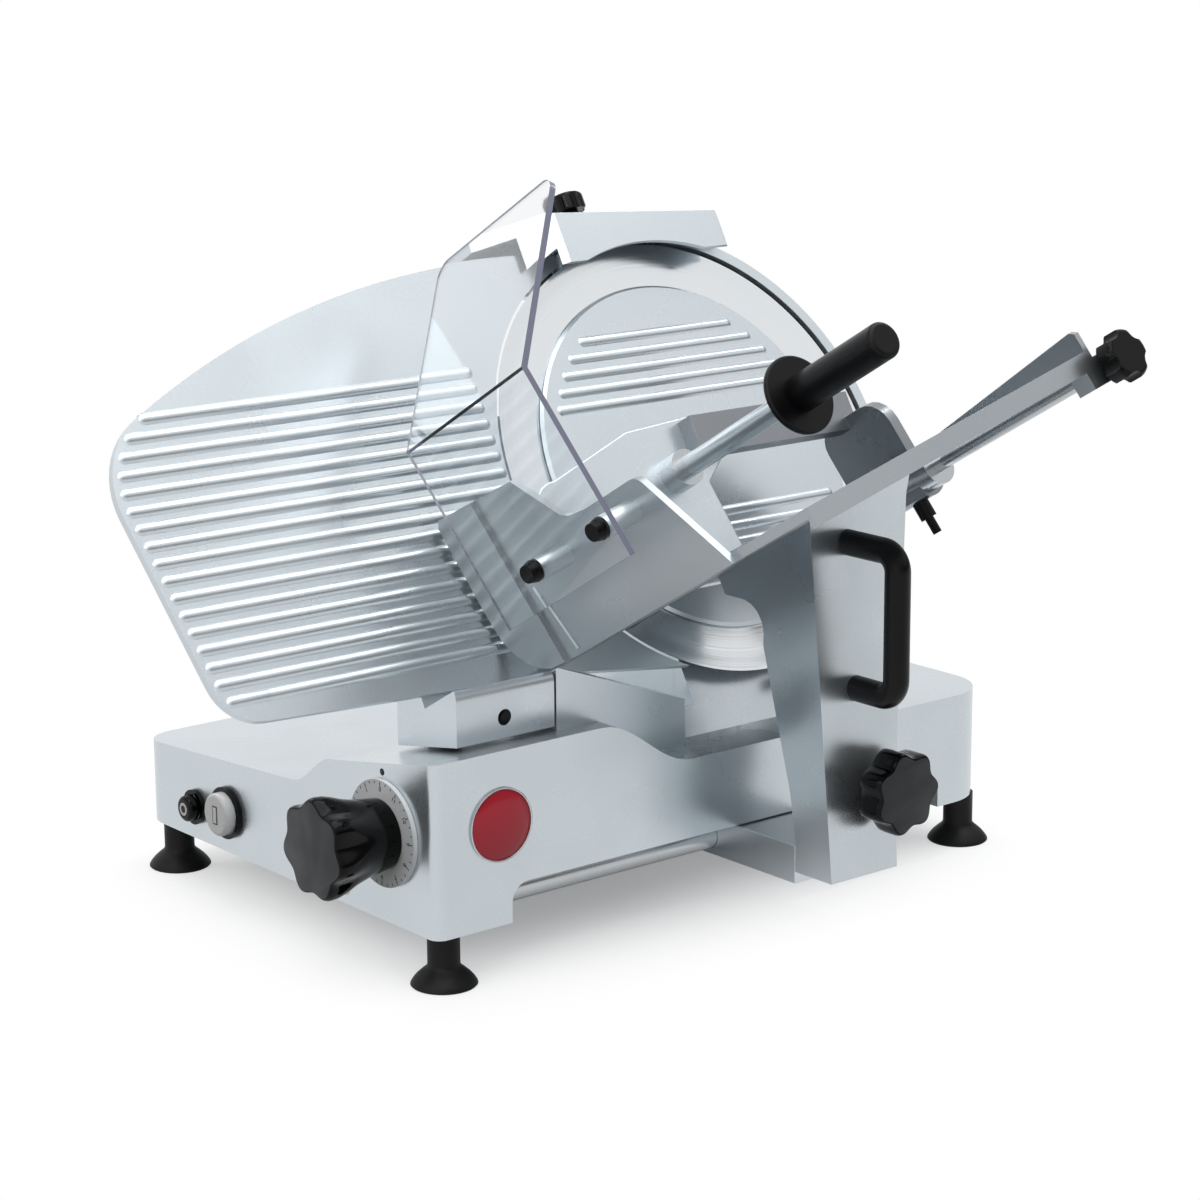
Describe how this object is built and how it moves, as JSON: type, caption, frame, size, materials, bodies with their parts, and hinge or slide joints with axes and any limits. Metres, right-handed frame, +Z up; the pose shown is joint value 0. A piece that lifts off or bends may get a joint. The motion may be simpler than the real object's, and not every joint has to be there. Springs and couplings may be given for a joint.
{
  "type": "electric food slicer",
  "caption": "Gravity-feed electric food slicer with a tilted round knife, ribbed gauge plate, sliding product carriage with clear guard and pusher, sharpener head and thickness knob.",
  "frame": {"origin": "on the counter below the middle of the machine's outer box", "axes": "+X along the carriage travel, from the thickness knob's end to the other end; +Y from the operator to the slice side; +Z up"},
  "size_m": [0.5999, 0.5352, 0.4702],
  "materials": {
    "cast_aluminium": "satin anodised",
    "knife_steel": "polished",
    "steel": "ground",
    "black_plastic": "gloss",
    "black_rubber": "matt",
    "white_plastic": "gloss",
    "grip_plastic": "satin",
    "dial_plastic": "satin",
    "bronze": "turned",
    "stone_grit": "gritty",
    "clear_acrylic": "clear",
    "motor_steel": "satin",
    "switch_plastic": "satin"
  },
  "bodies": {
    "base": {"base_casting": "cast_aluminium", "bottom_plate": "steel", "rubber_feet": "black_rubber", "cord_gland": "black_plastic", "wedge_casting": "cast_aluminium", "stop_bezel": "black_plastic", "start_bezel": "black_plastic", "switch_block": "switch_plastic", "shaft_bush": "bronze", "gauge_guide_rods": "steel", "knife_housing": "cast_aluminium", "bearing_carrier": "cast_aluminium", "front_bearing": "steel", "rear_bearing": "steel", "drive_belt": "black_rubber", "motor": "motor_steel", "knife_cover": "cast_aluminium", "cover_tie_rod": "steel", "slice_deflector": "steel", "sharpener_post": "steel", "carriage_rods": "steel"},
    "stop_button": {"stop_button": "black_plastic"},
    "start_button": {"start_button": "white_plastic"},
    "thickness_control": {"thickness_knob": "black_plastic", "dial_disc": "dial_plastic", "thickness_shaft": "steel", "spiral_cam": "steel"},
    "gauge": {"gauge_plate": "cast_aluminium", "gauge_block": "cast_aluminium", "gauge_slider": "steel"},
    "knife": {"knife_shaft": "steel", "knife": "knife_steel", "knife_screws": "steel", "knife_pulley": "steel"},
    "motor_rotor": {"motor_shaft": "steel", "motor_pulley": "steel"},
    "cover_knob": {"cover_knob": "black_plastic"},
    "sharpener": {"sharpener_head": "cast_aluminium", "sharpener_spindles": "steel"},
    "sharpener_knob": {"sharpener_knob": "black_plastic"},
    "left_stone": {"left_stone": "stone_grit"},
    "right_stone": {"right_stone": "stone_grit"},
    "carriage": {"carriage_foot": "cast_aluminium", "carriage_arm": "cast_aluminium", "arm_handle": "grip_plastic", "product_tray": "cast_aluminium", "pusher_rod": "steel", "guard_standoffs": "cast_aluminium", "clear_guard": "clear_acrylic", "guard_nuts": "black_plastic"},
    "lock_knob": {"lock_knob": "black_plastic"},
    "rod_knob": {"rod_knob": "black_plastic"},
    "pusher_slider": {"pusher_slider": "steel"},
    "pusher": {"stop_pin": "black_plastic", "pusher_arm": "steel", "pusher_plate": "cast_aluminium", "pusher_rod_handle": "steel", "hand_disc": "grip_plastic", "pusher_grip": "grip_plastic"}
  },
  "joints": [
    {"name": "carriage_slide", "type": "slide", "parent": "base", "child": "carriage", "axis": [1, 0, 0], "range_m": [-0.16, 0.1]},
    {"name": "gauge_slide", "type": "slide", "parent": "base", "child": "gauge", "axis": [0, 1, 0], "range_m": [0, 0.017]},
    {"name": "thickness_turn", "type": "hinge", "parent": "base", "child": "thickness_control", "pos_m": [-0.1745, -0.0189, 0.09], "axis": [-1, 0, 0], "range_deg": [0, 300]},
    {"name": "knife_spin", "type": "hinge", "parent": "base", "child": "knife", "pos_m": [0.1285, 0.0481, 0.271], "axis": [0, -0.866, 0.5], "continuous": true},
    {"name": "motor_spin", "type": "hinge", "parent": "base", "child": "motor_rotor", "pos_m": [0.1285, -0.0094, 0.17141], "axis": [0, -0.866, 0.5], "continuous": true},
    {"name": "start_press", "type": "slide", "parent": "base", "child": "start_button", "axis": [1, 0, 0], "range_m": [0, 0.003], "stiffness_N_per_m": 400},
    {"name": "stop_press", "type": "slide", "parent": "base", "child": "stop_button", "axis": [1, 0, 0], "range_m": [0, 0.003], "stiffness_N_per_m": 400},
    {"name": "cover_knob_turn", "type": "hinge", "parent": "base", "child": "cover_knob", "pos_m": [0.1285, 0.11738, 0.231], "axis": [0, -0.866, 0.5], "range_deg": [-180, 180]},
    {"name": "sharpener_lift", "type": "slide", "parent": "base", "child": "sharpener", "axis": [0, 0.5, 0.866], "range_m": [0, 0.02]},
    {"name": "sharpener_knob_turn", "type": "hinge", "parent": "sharpener", "child": "sharpener_knob", "pos_m": [0.1165, 0.15735, 0.40422], "axis": [0, 0.5, 0.866], "range_deg": [-180, 180]},
    {"name": "left_stone_spin", "type": "hinge", "parent": "sharpener", "child": "left_stone", "pos_m": [0.0845, 0.14731, 0.37884], "axis": [0, -0.866, 0.5], "continuous": true},
    {"name": "right_stone_spin", "type": "hinge", "parent": "sharpener", "child": "right_stone", "pos_m": [0.1505, 0.14731, 0.37884], "axis": [0, -0.866, 0.5], "continuous": true},
    {"name": "lock_turn", "type": "hinge", "parent": "carriage", "child": "lock_knob", "pos_m": [0.1045, -0.1509, 0.095], "axis": [0, -1, 0], "range_deg": [-180, 180]},
    {"name": "rod_knob_turn", "type": "hinge", "parent": "carriage", "child": "rod_knob", "pos_m": [0.20969, -0.24128, 0.35977], "axis": [0, -0.866, 0.5], "range_deg": [-180, 180]},
    {"name": "pusher_slide", "type": "slide", "parent": "carriage", "child": "pusher_slider", "axis": [0, -0.866, 0.5], "range_m": [-0.038, 0.13]},
    {"name": "pusher_swing", "type": "hinge", "parent": "pusher_slider", "child": "pusher", "pos_m": [0.20969, -0.06635, 0.25877], "axis": [0, -0.866, 0.5], "range_deg": [-75, 0]}
  ],
  "couplings": [
    {"joint": "thickness_turn", "follows": "gauge_slide", "rad_per_m": 308},
    {"joint": "motor_spin", "follows": "knife_spin", "ratio": 2.5}
  ]
}
